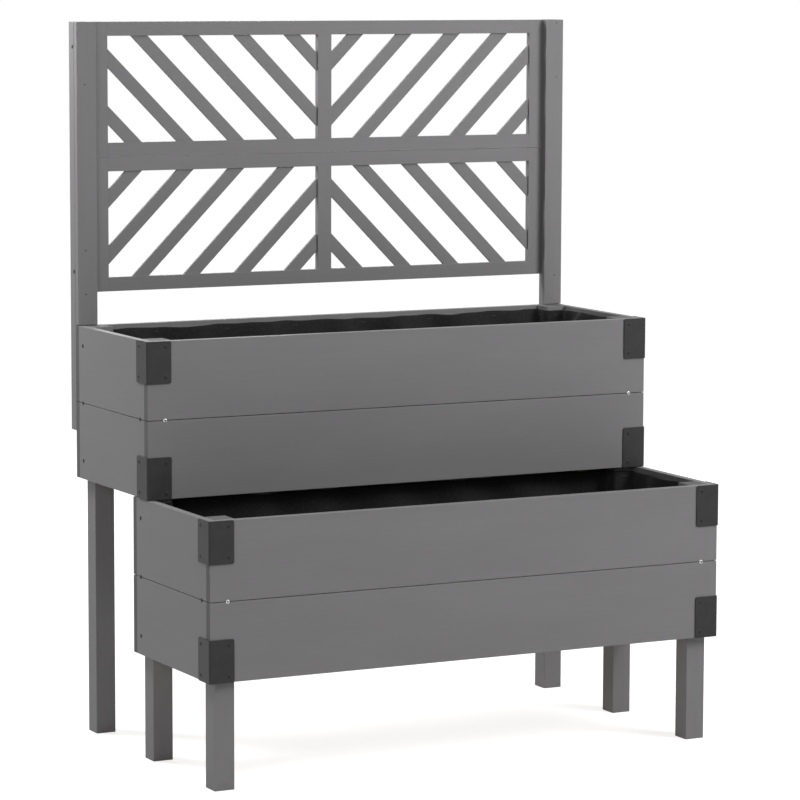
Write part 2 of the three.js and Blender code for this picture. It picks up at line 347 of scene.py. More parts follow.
def timber(node, grain_axis, face_axis, material, end_trim=0.0, edge_trim=0.0, arris=ARRIS):
    """A straight timber that fills the space of its node, but for a trim off its ends or edges."""
    low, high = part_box(node)
    size = high - low
    grain = AXES[grain_axis]
    face = AXES[face_axis]
    across = face.cross(grain)
    length, width, thickness = (abs(size.dot(axis)) for axis in (grain, across, face))
    outline = rectangle(length - 2 * end_trim, width - 2 * edge_trim)
    centre = (low + high) / 2
    piece = plank(node + "_timber", outline, thickness, centre, grain, face, material, arris)
    stand_for(node)


for row in ("front", "middle", "rear"):
    for side in SIDES:
        timber(f"leg_{row}_{side}", "Z", "Y", PAINTED_TIMBER)


# ================================================================ walls of the boxes
# Each wall is two boards, one above the other. The front and back boards run the full width and
# cover the ends of the side boards, so their dark end grain shows at the corners.

BOXES = ("lower", "upper")
COURSES = ("bottom", "top")
SEAM_TRIM = 0.35 * MM      # off each board's long edges, so that the seam shows as a dark line
BOARD_ARRIS = 0.5 * MM

for box in BOXES:
    for course in COURSES:
        for wall in ("front", "back"):
            node = f"{box}_{wall}_board_{course}"
            timber(node, "X", "Y", PAINTED_TIMBER, edge_trim=SEAM_TRIM, arris=BOARD_ARRIS)
        for side in SIDES:
            node = f"{box}_{side}_board_{course}"
            timber(node, "Y", "X", PAINTED_TIMBER, edge_trim=SEAM_TRIM, arris=BOARD_ARRIS)


# ================================================================ floors of the boxes
# Six sawn softwood slats lie across two cleats that are screwed inside the front and back boards.
# The timber is bare. The slats at the ends are notched round the legs.

RAW_PALE = (0.47, 0.35, 0.21, 1.0)
RAW_DEEP = (0.29, 0.19, 0.10, 1.0)
RAW_RING_SPACING = 4.5 * MM
RAW_ROUGHNESS = 0.78
SAW_PITCH = 1.9 * MM       # from one tooth mark to the next
SAW_WANDER = 25.0          # radians by which the marks stray from that pitch
FIBRE_RATE = (9.0, 700.0, 700.0)
BLOTCH_RATE = (4.0, 15.0, 15.0)
SAW_RELIEF = 0.012 * MM
FIBRE_RELIEF = 0.04 * MM
SLAT_FIT = 0.3 * MM
SLATS = 6
LEG_ROWS = {"lower": ("front", "middle"), "upper": ("middle", "rear")}


def raw_timber():
    finish = Finish("raw_timber")
    log = finish.mark("log", "Vector")
    end_grain = finish.mark("end_grain")
    rings = growth_rings(finish, log, RAW_RING_SPACING, RING_WANDER)
    fibres = finish.noise(finish.stretched(log, FIBRE_RATE), 1.0, 3.0, 0.6)
    blotches = finish.noise(finish.stretched(log, BLOTCH_RATE), 1.0, 3.0, 0.55)
    along = finish.node("SeparateXYZ", None, {0: log}, "X")
    saw = (along * (2 * math.pi / SAW_PITCH) + blotches * SAW_WANDER).sine()
    share = rings * 0.45 + fibres * 0.25 + blotches * 0.25 + end_grain * 0.3
    return finish.surface(
        Base_Color=finish.blend(share.smoothed(0.0, 1.0), RAW_PALE, RAW_DEEP),
        Roughness=RAW_ROUGHNESS + fibres * 0.12,
        Normal=finish.bumped(saw * SAW_RELIEF + fibres * FIBRE_RELIEF + rings * GRAIN_RELIEF),
        Specular_IOR_Level=0.3,
    )


RAW_TIMBER = raw_timber()


def notched_outline(length, width, notch_length, notch_width):
    """A slat whose two corners on the second axis's far side are cut out round the legs."""
    end = length / 2
    edge = width / 2
    return [
        (-end, -edge),
        (end, -edge),
        (end, edge - notch_width),
        (end - notch_length, edge - notch_width),
        (end - notch_length, edge),
        (notch_length - end, edge),
        (notch_length - end, edge - notch_width),
        (-end, edge - notch_width),
    ]


def end_slat(box, number, side):
    """The slat at one end of a box's floor, fitted round its two legs."""
    node = f"{box}_floor_slat_{number}"
    low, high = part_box(node)
    leg_low, leg_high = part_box(f"leg_{LEG_ROWS[box][0]}_{side}")
    inner_face = leg_low.x if SIDES[side] > 0 else -leg_high.x
    outer_end = high.x if SIDES[side] > 0 else -low.x
    notch_width = outer_end - inner_face + SLAT_FIT
    notch_length = leg_high.y - low.y + SLAT_FIT
    size = high - low
    outline = notched_outline(size.y, size.x, notch_length, notch_width)
    grain = AXES["Y"] * -SIDES[side]
    piece = plank(node + "_timber", outline, size.z, (low + high) / 2, grain, AXES["Z"], RAW_TIMBER)
    stand_for(node)


for box in BOXES:
    for wall in ("front", "back"):
        timber(f"{box}_cleat_{wall}", "X", "Z", RAW_TIMBER)
    for number in range(2, SLATS):
        timber(f"{box}_floor_slat_{number}", "Y", "Z", RAW_TIMBER)
    end_slat(box, 1, "left")
    end_slat(box, SLATS, "right")


# ================================================================ corner brackets
# Each front corner has a steel bracket at its top and its bottom: a strip bent square, with
# rounded free corners, a satin black powder coat and two black screws in each flange.

STEEL_LEVEL = 0.018
STEEL_ROUGHNESS = 0.44
PEEL_RELIEF = 0.02 * MM       # of the powder coat's orange peel
PLATE_THICKNESS = 1.5 * MM
BEND_RADIUS = 2.0 * MM        # to the middle of the plate
HALF_BEND = BEND_RADIUS * math.pi / 4
BEND_HEART = PLATE_THICKNESS / 2 + BEND_RADIUS    # from either outer face
BEND_STEPS = 6
CORNER_BEARING = math.radians(225)                # of the corner, seen from the bend's heart
FREE_CORNER = 3.0 * MM
FREE_CORNER_STEPS = 5
PLATE_EASE = 0.25 * MM
SHARP = math.radians(60)      # an edge with more than this turn is eased
HOLE_FROM_CORNER = 31 * MM
HOLE_FROM_END = 9 * MM
BRACKET_SCREW_HEAD = 3.0 * MM
BRACKET_SCREW_RISE = 0.5 * MM
HEAD_PROFILE = ((1.0, 0.0), (1.0, 0.35), (0.86, 0.85), (0.66, 1.0))  # shares of radius and height
CROSS_ARM = 0.62              # the cross recess in a screw's head, as shares of the head's radius
CROSS_HALF_WIDTH = 0.22
CROSS_TAPER = 0.75            # its floor, as a share of its mouth
CROSS_DEPTH = 0.9             # as a share of the head's height
SCREW_TURN = 2.4              # radians that each screw ends up turned from the one before


def black_painted_steel():
    finish = Finish("black_painted_steel")
    own = finish.node("TexCoord", None, None, "Object")
    recess = finish.mark("recess")
    rim = finish.mark("rim")
    peel = finish.noise(own, 700.0, 2.0, 0.5)
    dust = finish.noise(own, 55.0, 4.0, 0.65)
    coat = finish.blend(dust.smoothed(0.35, 0.75), grey(STEEL_LEVEL * 0.9), grey(STEEL_LEVEL * 1.25))
    # lighter along the plate's eased edges
    edge_lightened = finish.blend(rim * 0.5, coat, grey(STEEL_LEVEL * 2.2))
    return finish.surface(
        # painted shade: the screws' hollows are coloured darker and made rougher
        Base_Color=finish.blend(recess * 0.8, edge_lightened, grey(STEEL_LEVEL * 0.25)),
        Roughness=STEEL_ROUGHNESS + dust * 0.14 + recess * 0.3,
        Normal=finish.bumped(peel * PEEL_RELIEF),
        Specular_IOR_Level=0.26,
    )


BLACK_STEEL = black_painted_steel()


def bracket_blank(flange, height):
    """Places along the flat blank and its half height there, from one free end to the other."""
    columns = []
    for step in range(FREE_CORNER_STEPS + 1):
        turn = math.pi / 2 * step / FREE_CORNER_STEPS
        place = flange - FREE_CORNER + FREE_CORNER * math.cos(turn)
        columns.append((place, height / 2 - FREE_CORNER + FREE_CORNER * math.sin(turn)))
    for step in range(BEND_STEPS // 2):
        columns.append((HALF_BEND * (1 - 2 * step / BEND_STEPS), height / 2))
    middle = [(0.0, height / 2)]
    far_side = [(-place, half) for place, half in reversed(columns)]
    return columns + middle + far_side


def bent(place, out):
    """Where a point of the blank lies once the plate is bent square round its corner, whose outer
    faces are x = 0 and y = 0. The first flange runs along +X and the second along +Y."""
    if place > HALF_BEND:
        return BEND_HEART + place - HALF_BEND, PLATE_THICKNESS / 2 - out
    if place < -HALF_BEND:
        return PLATE_THICKNESS / 2 - out, BEND_HEART - place - HALF_BEND
    turn = CORNER_BEARING + place / BEND_RADIUS
    reach = BEND_RADIUS + out
    return BEND_HEART + reach * math.cos(turn), BEND_HEART + reach * math.sin(turn)


def bracket_plate(flange, height):
    """The bent plate, with its corner on its own origin and its lower edge at z = 0."""
    shape = bmesh.new()
    rim = shape.faces.layers.float.new("rim")
    flat_flange = flange - BEND_HEART + HALF_BEND
    columns = []
    for place, half in bracket_blank(flat_flange, height):
        column = []
        for out, z in (
            (PLATE_THICKNESS / 2, height / 2 - half),
            (PLATE_THICKNESS / 2, height / 2 + half),
            (-PLATE_THICKNESS / 2, height / 2 + half),
            (-PLATE_THICKNESS / 2, height / 2 - half),
        ):
            column.append(shape.verts.new((*bent(place, out), z)))
        columns.append(column)
    for near, far in zip(columns, columns[1:]):
        for corner in range(4):
            following = (corner + 1) % 4
            shape.faces.new((near[corner], near[following], far[following], far[corner]))
    shape.faces.new(columns[0])
    shape.faces.new(columns[-1])
    bmesh.ops.recalc_face_normals(shape, faces=shape.faces)
    sharp = [edge for edge in shape.edges if edge.calc_face_angle(0) > SHARP]
    for strip in eased(shape, sharp, PLATE_EASE):
        strip[rim] = 1.0
    return shape


def cross_reach(turn, arm, half_width):
    """How far a cross recess reaches from its middle in one direction."""
    along = max(abs(math.cos(turn)), 1e-6)
    across = max(abs(math.sin(turn)), 1e-6)
    return max(min(arm / along, half_width / across), min(half_width / along, arm / across))


def add_screw(shape, place, facing, head, rise, spin):
    """Adds a low screw head with a cross recess, its underside on place, to a shape."""
    # faces marked recess get a painted shade in the materials
    recess = shape.faces.layers.float.get("recess") or shape.faces.layers.float.new("recess")
    turn_to_face = facing.to_track_quat("Z", "Y").to_matrix()
    arm = head * CROSS_ARM
    half_width = head * CROSS_HALF_WIDTH
    depth = rise * CROSS_DEPTH
    splay = math.atan2(half_width, arm)
    quarter = [0.0, splay, math.radians(30), math.radians(45), math.radians(60), math.pi / 2 - splay]
    turns = [spin + angle + quadrant * math.pi / 2 for quadrant in range(4) for angle in quarter]
    cross = [cross_reach(turn - spin, arm, half_width) for turn in turns]
    rings = [[(head * out, rise * up)] * len(turns) for out, up in HEAD_PROFILE]
    rings.append([(reach, rise) for reach in cross])
    rings.append([(reach * CROSS_TAPER, rise - depth) for reach in cross])
    loops = []
    for ring in rings:
        loop = []
        for turn, (reach, height) in zip(turns, ring):
            flat = Vector((reach * math.cos(turn), reach * math.sin(turn), height))
            loop.append(shape.verts.new(place + turn_to_face @ flat))
        loops.append(loop)
    dark_levels = (0, len(loops) - 2)    # painted shade: the foot of the head, shaded by its hole, and the walls of the cross
    for level, (outer, inner) in enumerate(zip(loops, loops[1:])):
        for step in range(len(turns)):
            following = (step + 1) % len(turns)
            side = shape.faces.new((outer[step], outer[following], inner[following], inner[step]))
            side[recess] = float(level in dark_levels)
    # the floor of the cross is painted shade too
    shape.faces.new(loops[-1])[recess] = 1.0
    shape.faces.new(reversed(loops[0]))


def screw_group(name, screws, material, head, rise):
    """Like screws as one piece, each given as its place and the direction its head faces."""
    shape = bmesh.new()
    for count, (place, facing) in enumerate(screws):
        add_screw(shape, Vector(place), Vector(facing), head, rise, spin=count * SCREW_TURN)
    group = rigid_piece(name, finished_mesh(name, shape, material))
    shade_evenly(group)
    return group


def bracket(box, level, side):
    node = f"{box}_bracket_{level}_{side}"
    low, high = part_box(node)
    size = high - low
    shape = bracket_plate(size.x, size.z)
    corner = low.copy()
    if SIDES[side] > 0:
        corner.x = high.x
        bmesh.ops.scale(shape, verts=shape.verts, vec=(-1, 1, 1))
        bmesh.ops.reverse_faces(shape, faces=shape.faces)
    mesh = finished_mesh(node + "_plate", shape, BLACK_STEEL)
    plate = rigid_piece(node + "_plate", mesh, Matrix.Translation(corner))
    shade_evenly(plate)
    stand_for(node)

    screws = []
    for z in (low.z + HOLE_FROM_END, high.z - HOLE_FROM_END):
        screws.append(((corner.x - SIDES[side] * HOLE_FROM_CORNER, corner.y, z), (0, -1, 0)))
        screws.append(((corner.x, corner.y + HOLE_FROM_CORNER, z), (SIDES[side], 0, 0)))
    name = node + "_screws"
    group = screw_group(name, screws, BLACK_STEEL, BRACKET_SCREW_HEAD, BRACKET_SCREW_RISE)


for box in BOXES:
    for level in ("bottom", "top"):
        for side in SIDES:
            bracket(box, level, side)


# ================================================================ box screws
# The boards are screwed into the legs behind them: black screws up the rear edge of each side, at
# the front of its seam and up both edges of the back, and a bright zinc one at each end of the
# front seam.

ZINC_TONE = (0.60, 0.60, 0.58, 1.0)
ZINC_DULL = (0.36, 0.36, 0.35, 1.0)
ZINC_ROUGHNESS = 0.26
SCREW_BELOW_RIM = 30 * MM
SCREW_ABOVE_BASE = 29 * MM
TIMBER_SCREW_HEAD = 3.4 * MM
TIMBER_SCREW_RISE = 0.4 * MM
FRONT_SCREW_HEAD = 3.0 * MM
FRONT_SCREW_RISE = 0.8 * MM


def bright_zinc_steel():
    finish = Finish("bright_zinc_steel")
    own = finish.node("TexCoord", None, None, "Object")
    recess = finish.mark("recess")
    spangle = finish.noise(own, 900.0, 3.0, 0.6)
    plating = finish.blend(spangle.smoothed(0.35, 0.75), ZINC_TONE, ZINC_DULL)
    return finish.surface(
        # painted shade: the screws' hollows are coloured dark and not metallic
        Base_Color=finish.blend(recess * 0.9, plating, grey(0.02)),
        Metallic=1.0 - recess * 0.8,
        Roughness=ZINC_ROUGHNESS + spangle * 0.16 + recess * 0.3,
    )


BRIGHT_ZINC = bright_zinc_steel()


def box_screws(box):
    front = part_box(f"{box}_front_board_bottom")[0].y
    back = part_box(f"{box}_back_board_bottom")[1].y
    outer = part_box(f"{box}_right_board_bottom")[1].x
    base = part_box(f"{box}_front_board_bottom")[0].z
    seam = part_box(f"{box}_front_board_bottom")[1].z
    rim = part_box(f"{box}_front_board_top")[1].z
    leg_low, leg_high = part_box(f"leg_{LEG_ROWS[box][0]}_right")
    leg_x = (leg_low.x + leg_high.x) / 2
    from_face = (leg_low.y + leg_high.y) / 2 - front
    levels = (base + SCREW_ABOVE_BASE, seam, rim - SCREW_BELOW_RIM)
    dark, bright = [], []
    for sign in SIDES.values():
        dark += [((sign * outer, back - from_face, z), (sign, 0, 0)) for z in levels]
        dark += [((sign * leg_x, back, z), (0, 1, 0)) for z in levels]
        dark.append(((sign * outer, front + from_face, seam), (sign, 0, 0)))
        bright.append(((sign * leg_x, front, seam), (0, -1, 0)))
    group = screw_group(f"{box}_screws", dark, BLACK_STEEL, TIMBER_SCREW_HEAD, TIMBER_SCREW_RISE)
    group = screw_group(f"{box}_front_screws", bright, BRIGHT_ZINC, FRONT_SCREW_HEAD, FRONT_SCREW_RISE)


for box in BOXES:
    box_screws(box)


# ================================================================ liners
# Each box is lined with black non-woven felt. It is folded into the box and round the legs, lies on
# the floor slats, and is held by black staples just below the rim. It wrinkles where it has play.

FELT_LEVEL = 0.010
FELT_ROUGHNESS = 0.88
FIBRE_HEIGHT = 0.10 * MM
MATTING_HEIGHT = 0.20 * MM
FELT_THICKNESS = 1.5 * MM
FELT_CLEARANCE = 1.0 * MM     # from the felt's outer face to the timber
FELT_INSET = FELT_CLEARANCE + FELT_THICKNESS / 2
FELT_GRID = 11 * MM
FELT_PLAY = 0.025             # how much longer the felt is than what it lines
FELT_RUFFLE = 4.0 * MM        # the unevenness that the felt starts from
FELT_WAVE = 90 * MM
RUFFLE_RAMP = 3               # that unevenness grows over the lowest third of the height
EDGE_WANDER = 2.5 * MM        # how far the hand-cut edge strays
EDGE_WAVE = 40 * MM
EDGE_ZONE = 0.9               # the share of the height above which the edge strays
SETTLE_FRAMES = 32
STAPLE_PITCH = 120 * MM
STAPLES_ALONG = 6             # on the front and the back
STAPLES_ACROSS = 2            # on each side
STAPLE_BELOW_EDGE = 8 * MM
STAPLE_HOLD = 1.3 * FELT_GRID     # the felt is held fast within this distance of a staple
STAPLE_PULL = 4 * FELT_GRID       # and drawn flat within this one
STAPLE_CROWN = 11 * MM
STAPLE_WIRE = 0.8 * MM
STAPLE_HALF_HEIGHT = 0.8 * STAPLE_WIRE
STAPLE_EASE = 0.2 * STAPLE_WIRE
STAPLE_LEG = 2 * STAPLE_WIRE      # how far its legs reach behind the felt's face
MOULD_PLAY = 1.0 * MM         # from the mould in which the felt settles to the timber it stands for
MOULD_OVER_RIM = 20 * MM
MOULD_GRID = 60 * MM
MOULD_SKIN = 1.0 * MM         # the distance at which the mould pushes the felt back
FELT_SKIN = 1.5 * MM          # and the one that the felt adds to it


def black_felt():
    finish = Finish("black_liner_felt")
    own = finish.node("TexCoord", None, None, "Object")
    fibres = finish.noise(own, 1500.0, 4.0, 0.8)
    matting = finish.noise(own, 260.0, 4.0, 0.7)
    tone = finish.blend(matting.smoothed(0.3, 0.7), grey(FELT_LEVEL * 0.75), grey(FELT_LEVEL * 1.6))
    return finish.surface(
        Base_Color=tone,
        Roughness=FELT_ROUGHNESS + fibres * 0.1,
        Normal=finish.bumped(fibres * FIBRE_HEIGHT + matting * MATTING_HEIGHT),
        Specular_IOR_Level=0.2,
        Sheen_Weight=0.06,
        Sheen_Roughness=0.5,
    )


BLACK_FELT = black_felt()


def free_plan(box, inset):
    """The stops along x and y of the free plan inside a box, drawn in from its boards and legs."""
    wall_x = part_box(f"{box}_right_board_bottom")[0].x - inset
    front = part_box(f"{box}_front_board_bottom")[1].y + inset
    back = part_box(f"{box}_back_board_bottom")[0].y - inset
    front_leg, back_leg = (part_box(f"leg_{row}_right") for row in LEG_ROWS[box])
    notch_x = front_leg[0].x - inset
    y_stops = [front, front_leg[1].y + inset, back_leg[0].y - inset, back]
    return [-wall_x, -notch_x, notch_x, wall_x], y_stops


def spread(stops, pitch):
    """Grid lines through all the stops, about a pitch apart."""
    lines = [stops[0]]
    for start, end in zip(stops, stops[1:]):
        steps = max(1, round((end - start) / pitch))
        lines += [start + (end - start) * (step + 1) / steps for step in range(steps)]
    return lines


def tray(x_stops, y_stops, base, top, pitch):
    """An open tray over a plan whose four corners are cut out, in even square meshes."""
    shape = bmesh.new()
    x_lines = spread(x_stops, pitch)
    y_lines = spread(y_stops, pitch)
    corners = {}

    def corner(column, row):
        if (column, row) not in corners:
            corners[column, row] = shape.verts.new((x_lines[column], y_lines[row], base))
        return corners[column, row]

    for column in range(len(x_lines) - 1):
        for row in range(len(y_lines) - 1):
            beside_leg = not x_stops[1] <= x_lines[column] < x_stops[2]
            level_with_leg = not y_stops[1] <= y_lines[row] < y_stops[2]
            if not (beside_leg and level_with_leg):
                places = ((column, row), (column + 1, row), (column + 1, row + 1), (column, row + 1))
                shape.faces.new([corner(*place) for place in places])
    rim = [edge for edge in shape.edges if edge.is_boundary]
    steps = round((top - base) / pitch)
    for _ in range(steps):
        made = bmesh.ops.extrude_edge_only(shape, edges=rim)["geom"]
        raised = [item for item in made if isinstance(item, bmesh.types.BMVert)]
        bmesh.ops.translate(shape, verts=raised, vec=(0, 0, (top - base) / steps))
        rim = [item for item in made if isinstance(item, bmesh.types.BMEdge) and item.is_boundary]
    bmesh.ops.recalc_face_normals(shape, faces=shape.faces)
    if sum(face.normal.z for face in shape.faces) < 0:
        bmesh.ops.reverse_faces(shape, faces=shape.faces)
    return shape


def loose_object(name, shape):
    mesh = bpy.data.meshes.new(name)
    shape.to_mesh(mesh)
    shape.free()
    made = bpy.data.objects.new(name, mesh)
    bpy.context.scene.collection.objects.link(made)
    return made


def settled(felt, mould, stapled):
    """Lets the felt wrinkle and sag in its mould, and gives its mesh at rest."""
    scene = bpy.context.scene
    felt.vertex_groups.new(name="stapled").add(stapled, 1.0, "REPLACE")
    mould.modifiers.new("solid", "COLLISION")
    mould.collision.thickness_outer = MOULD_SKIN
    mould.collision.cloth_friction = 20
    cloth = felt.modifiers.new("felt", "CLOTH")
    cloth.settings.quality = 10
    cloth.settings.air_damping = 4
    cloth.settings.mass = 0.25
    cloth.settings.tension_stiffness = 20
    cloth.settings.compression_stiffness = 20
    cloth.settings.shear_stiffness = 8
    cloth.settings.bending_stiffness = 6
    cloth.settings.vertex_group_mass = "stapled"
    cloth.settings.shrink_min = -FELT_PLAY
    cloth.settings.effector_weights.gravity = 0.4
    cloth.collision_settings.collision_quality = 3
    cloth.collision_settings.distance_min = FELT_SKIN
    cloth.point_cache.frame_end = SETTLE_FRAMES
    for moment in range(1, SETTLE_FRAMES + 1):
        scene.frame_set(moment)
    rested = felt.evaluated_get(bpy.context.evaluated_depsgraph_get())
    mesh = bpy.data.meshes.new_from_object(rested)
    scene.frame_set(1)
    return mesh


def staple_places(box, low, high):
    """Where the felt is stapled: places along the rim, with the direction that each looks."""
    middle = (low + high) / 2
    x_stops, y_stops = free_plan(box, FELT_INSET)
    z = high.z - EDGE_WANDER - STAPLE_BELOW_EDGE
    places = []
    for number in range(STAPLES_ALONG):
        x = (number - (STAPLES_ALONG - 1) / 2) * STAPLE_PITCH
        places.append((Vector((x, y_stops[0], z)), AXES["Y"]))
        places.append((Vector((x, y_stops[3], z)), -AXES["Y"]))
    for number in range(STAPLES_ACROSS):
        y = middle.y + (number - (STAPLES_ACROSS - 1) / 2) * STAPLE_PITCH
        places.append((Vector((x_stops[0], y, z)), AXES["X"]))
        places.append((Vector((x_stops[3], y, z)), -AXES["X"]))
    for sign in SIDES.values():
        leg_x = sign * (x_stops[2] + x_stops[3]) / 2
        for wall, corner, facing in ((0, 1, 1), (3, 2, -1)):
            leg_y = (y_stops[wall] + y_stops[corner]) / 2
            places.append((Vector((sign * x_stops[2], leg_y, z)), -sign * AXES["X"]))
            places.append((Vector((leg_x, y_stops[corner], z)), facing * AXES["Y"]))
    return places


def ruffled(felt, box, stapled_at, low, high):
    """Makes the felt uneven but for its stapled spots, and gives the points at those spots."""
    x_stops, y_stops = free_plan(box, FELT_INSET)
    stapled = []
    for vertex in felt.data.vertices:
        place = vertex.co.copy()
        tight = min((place - spot).length for spot, looking in stapled_at)
        if tight < STAPLE_HOLD:
            stapled.append(vertex.index)
        inward = Vector((0, 0, 0))
        if abs(place.x) > x_stops[2] - MM:
            inward.x = -math.copysign(1, place.x)
        if not y_stops[1] + MM < place.y < y_stops[2] - MM:
            inward.y = math.copysign(1, y_stops[1] + y_stops[2] - 2 * place.y)
        height = (place.z - low.z) / (high.z - low.z)
        push = FELT_RUFFLE * (0.5 + 0.5 * noise.noise(place / FELT_WAVE))
        free = min(1.0, tight / STAPLE_PULL) * min(1.0, height * RUFFLE_RAMP)
        vertex.co += inward * push * free
        if height > EDGE_ZONE:
            vertex.co.z += EDGE_WANDER * noise.noise(place / EDGE_WAVE)
    return stapled


def kept_inside(mesh, box, low, high):
    """Brings every point of the felt back inside the boards, the legs and the floor."""
    x_stops, y_stops = free_plan(box, FELT_INSET)
    for vertex in mesh.vertices:
        place = vertex.co
        place.x = min(max(place.x, x_stops[0]), x_stops[3])
        place.y = min(max(place.y, y_stops[0]), y_stops[3])
        place.z = min(max(place.z, low.z + FELT_THICKNESS / 2), high.z)
        into_leg_x = abs(place.x) - x_stops[2]
        into_leg_y = max(y_stops[1] - place.y, place.y - y_stops[2])
        if min(into_leg_x, into_leg_y) > 0:
            if into_leg_x < into_leg_y:
                place.x = math.copysign(x_stops[2], place.x)
            else:
                place.y = y_stops[1] if place.y < y_stops[1] else y_stops[2]


def add_staple(shape, place, looking):
    """Adds a steel staple, its crown lying level across a place on the felt."""
    along = looking.cross(AXES["Z"])
    half = STAPLE_CROWN / 2
    path = [(-half, -STAPLE_LEG), (-half, STAPLE_WIRE), (half, STAPLE_WIRE), (half, -STAPLE_LEG)]
    spread_out = (-1, -1, 1, 1)
    rise = (0, 1, 1, 0)
    sections = []
    for (across, out), sideways, lift in zip(path, spread_out, rise):
        section = []
        for wire_side, level in ((0, -1), (1, -1), (1, 1), (0, 1)):
            offset = STAPLE_WIRE * wire_side
            point = along * (across - sideways * offset) + looking * (out - lift * offset)
            up = AXES["Z"] * (level * STAPLE_HALF_HEIGHT)
            section.append(shape.verts.new(place + point + up))
        sections.append(section)
    for near, far in zip(sections, sections[1:]):
        for corner in range(4):
            following = (corner + 1) % 4
            shape.faces.new((near[corner], near[following], far[following], far[corner]))
    shape.faces.new(sections[0])
    shape.faces.new(sections[-1])


def staple_group(box, places):
    """All the staples of one box as one piece."""
    name = f"{box}_staples"
    shape = bmesh.new()
    for place, looking in places:
        add_staple(shape, place + looking * (FELT_THICKNESS / 2), looking)
    bmesh.ops.recalc_face_normals(shape, faces=shape.faces)
    bmesh.ops.bevel(
        shape, geom=shape.edges[:], offset=STAPLE_EASE, segments=EASED_STEPS, affect="EDGES"
    )
    return rigid_piece(name, finished_mesh(name, shape, BLACK_STEEL))


def liner(box):
    node = f"{box}_liner"
    low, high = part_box(node)
    x_stops, y_stops = free_plan(box, FELT_INSET)
    shape = tray(x_stops, y_stops, low.z + FELT_THICKNESS / 2, high.z - EDGE_WANDER, FELT_GRID)
    felt = loose_object(node + "_felt", shape)
    stapled_at = staple_places(box, low, high)
    stapled = ruffled(felt, box, stapled_at, low, high)
    mould_stops = free_plan(box, -MOULD_PLAY)
    mould_shape = tray(*mould_stops, low.z - MOULD_PLAY, high.z + MOULD_OVER_RIM, MOULD_GRID)
    mould = loose_object(node + "_mould", mould_shape)
    mesh = settled(felt, mould, stapled)
    felt.modifiers.clear()
    felt.data = mesh
    bpy.data.objects.remove(mould)
    kept_inside(felt.data, box, low, high)
    for face in felt.data.polygons:
        face.use_smooth = True
    felt.data.materials.clear()
    felt.data.materials.append(BLACK_FELT)
    thick = felt.modifiers.new("thickness", "SOLIDIFY")
    thick.thickness = FELT_THICKNESS
    thick.offset = 0
    felt.modifiers.new("soft", "SUBSURF").render_levels = 1
    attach(felt, "root")
    stand_for(node)

    staples = staple_group(box, stapled_at)


for box in BOXES:
    liner(box)


# ================================================================ trellis posts
# A face strip stands on the back board and a batten is screwed behind it and behind the box.
# The strip is wider than the batten, so its lip covers the edge of the lattice panels.

POST_SCREW_LEVELS = (722 * MM, 1069 * MM)
POST_SCREW_DEPTH = 17 * MM                    # behind the face of the strip
BACK_SCREW_BELOW_RIM = (30 * MM, 135 * MM)
BRAD_FROM_EDGE = 12.8 * MM
BRAD_LEVELS = {"left": (687 * MM, 755 * MM, 1011 * MM), "right": (687 * MM, 1014 * MM, 1102 * MM)}
BRAD_HEAD = 1.1 * MM
BRAD_RISE = 0.15 * MM

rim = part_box("upper_back_board_top")[1].z
screws = []
brads = []
for side, sign in SIDES.items():
    for part in ("post", "post_face"):
        timber(f"trellis_{part}_{side}", "Z", "Y", PAINTED_TIMBER)
    strip_low, strip_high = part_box(f"trellis_post_face_{side}")
    batten_low, batten_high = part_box(f"trellis_post_{side}")
    outer = strip_high.x if sign > 0 else strip_low.x
    batten_x = (batten_low.x + batten_high.x) / 2
    for z in POST_SCREW_LEVELS:
        screws.append(((outer, strip_low.y + POST_SCREW_DEPTH, z), (sign, 0, 0)))
    for below in BACK_SCREW_BELOW_RIM:
        screws.append(((batten_x, batten_high.y, rim - below), (0, 1, 0)))
    for z in BRAD_LEVELS[side]:
        brads.append(((outer - sign * BRAD_FROM_EDGE, strip_low.y, z), (0, -1, 0)))
group = screw_group("trellis_screws", screws, BLACK_STEEL, TIMBER_SCREW_HEAD, TIMBER_SCREW_RISE)
group = screw_group("trellis_brads", brads, BLACK_STEEL, BRAD_HEAD, BRAD_RISE)


# ================================================================ lattice panels
# Two framed panels, one above the other, fill the space between the posts. Thin slats are housed
# in the middle of the frame's thickness. They slant towards the centre stile, and the lower panel
# hangs the other way up.

PANELS = ("lower", "upper")
RAIL_HEIGHT = 22 * MM
CENTRE_STILE_WIDTH = 24 * MM
LATTICE_SLAT_WIDTH = 20 * MM
LATTICE_SLAT_THICKNESS = 5 * MM
LATTICE_SLATS = 6          # in each half of a panel
LATTICE_HOUSING = 3 * MM   # how far a slat's end runs into the frame
LATTICE_ARRIS = 0.5 * MM
FRAME_ARRIS = 0.25 * MM    # the frames are assembled, sanded flush and painted as one
FRAME_TRIM = 0.15 * MM     # off the outer edges, so that light shows between the two panels
RAIL_REACH = 0.28 * MM     # by which a rail's end is pressed up to the stile


def clipped(outline, axis, limit, keep_sign):
    """The part of a convex outline on one side of a line across the given axis."""
    kept = []
    for start, end in zip(outline, outline[1:] + outline[:1]):
        start_depth = (start[axis] - limit) * keep_sign
        end_depth = (end[axis] - limit) * keep_sign
        if start_depth >= 0:
            kept.append(start)
        if start_depth * end_depth < 0:
            kept.append(start + (end - start) * (start_depth / (start_depth - end_depth)))
    return kept


def framed_timber(name, node, xs, zs, grain_axis):
    """A rail or stile of a panel that fills a stretch of the panel's thickness."""
    low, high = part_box(node)
    centre = Vector(((xs[0] + xs[1]) / 2, (low.y + high.y) / 2, (zs[0] + zs[1]) / 2))
    width = xs[1] - xs[0]
    height = zs[1] - zs[0]
    outline = rectangle(width, height) if grain_axis == "X" else rectangle(height, width)
    grain = AXES[grain_axis]
    thickness = high.y - low.y
    piece = plank(name, outline, thickness, centre, grain, AXES["Y"], PAINTED_TIMBER, FRAME_ARRIS)
    stand_for(node)


